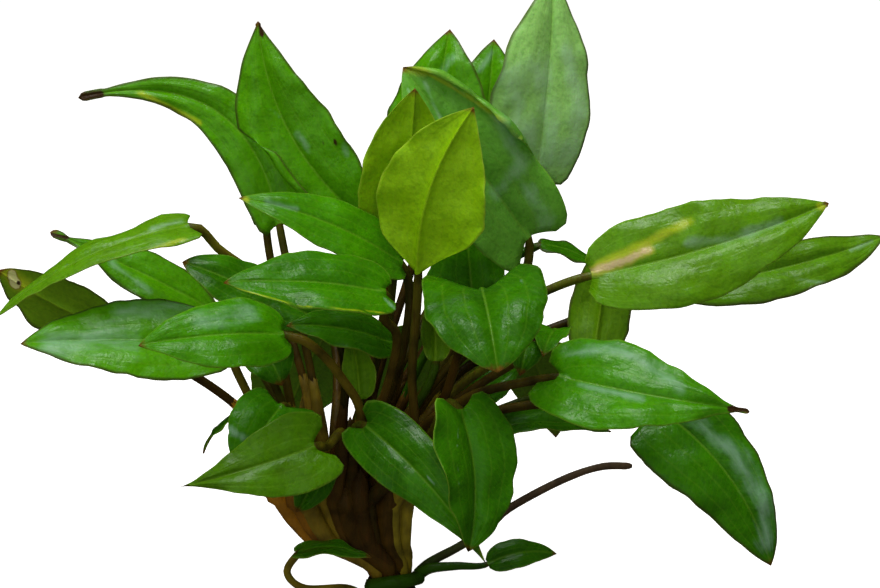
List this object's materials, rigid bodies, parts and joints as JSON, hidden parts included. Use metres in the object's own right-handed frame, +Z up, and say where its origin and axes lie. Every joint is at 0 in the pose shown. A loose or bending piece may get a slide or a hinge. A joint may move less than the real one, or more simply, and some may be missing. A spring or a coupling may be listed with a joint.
{
  "type": "aquarium plant",
  "caption": "Clump of cryptocoryne: a rosette of glossy heart-based leaves on slim brown stalks, standing on the flat cut foot of its rootstock.",
  "frame": {"origin": "on the ground under the rootstock, at the centre of its flat cut foot", "axes": "+Z up the plant, -Y towards the picture's camera, +X to its right"},
  "size_m": [0.2252, 0.1524, 0.1608],
  "materials": {
    "leaf": "glossy",
    "rootstock": "matte",
    "root": "matte"
  },
  "bodies": {
    "root": {"bare_stalk": "leaf", "leaf_back_left": "leaf", "leaf_back_middle": "leaf", "leaf_back_tall": "leaf", "leaf_curled": "leaf", "leaf_far_left": "leaf", "leaf_far_left_low": "leaf", "leaf_far_low": "leaf", "leaf_far_middle": "leaf", "leaf_far_right": "leaf", "leaf_far_right_low": "leaf", "leaf_front_folded": "leaf", "leaf_front_low": "leaf", "leaf_front_tall": "leaf", "leaf_front_tall_left": "leaf", "leaf_heart": "leaf", "leaf_inner_back": "leaf", "leaf_inner_left": "leaf", "leaf_inner_low": "leaf", "leaf_inner_right": "leaf", "leaf_inner_tip": "leaf", "leaf_left_arching": "leaf", "leaf_left_back": "leaf", "leaf_left_big": "leaf", "leaf_left_front": "leaf", "leaf_left_hidden": "leaf", "leaf_left_long": "leaf", "leaf_left_middle": "leaf", "leaf_left_narrow": "leaf", "leaf_left_sliver": "leaf", "leaf_left_small": "leaf", "leaf_left_tall": "leaf", "leaf_left_under": "leaf", "leaf_left_upper": "leaf", "leaf_low_left": "leaf", "leaf_low_left_front": "leaf", "leaf_low_left_round": "leaf", "leaf_low_left_under": "leaf", "leaf_low_right": "leaf", "leaf_right_back": "leaf", "leaf_right_big": "leaf", "leaf_right_edge": "leaf", "leaf_right_front": "leaf", "leaf_right_hanging": "leaf", "leaf_right_low": "leaf", "leaf_right_upright": "leaf", "leaf_small_cupped": "leaf", "root_1": "root", "root_2": "root", "root_3": "root", "root_4": "root", "root_5": "root", "root_6": "root", "root_7": "root", "root_8": "root", "rootstock": "rootstock"}
  },
  "joints": []
}
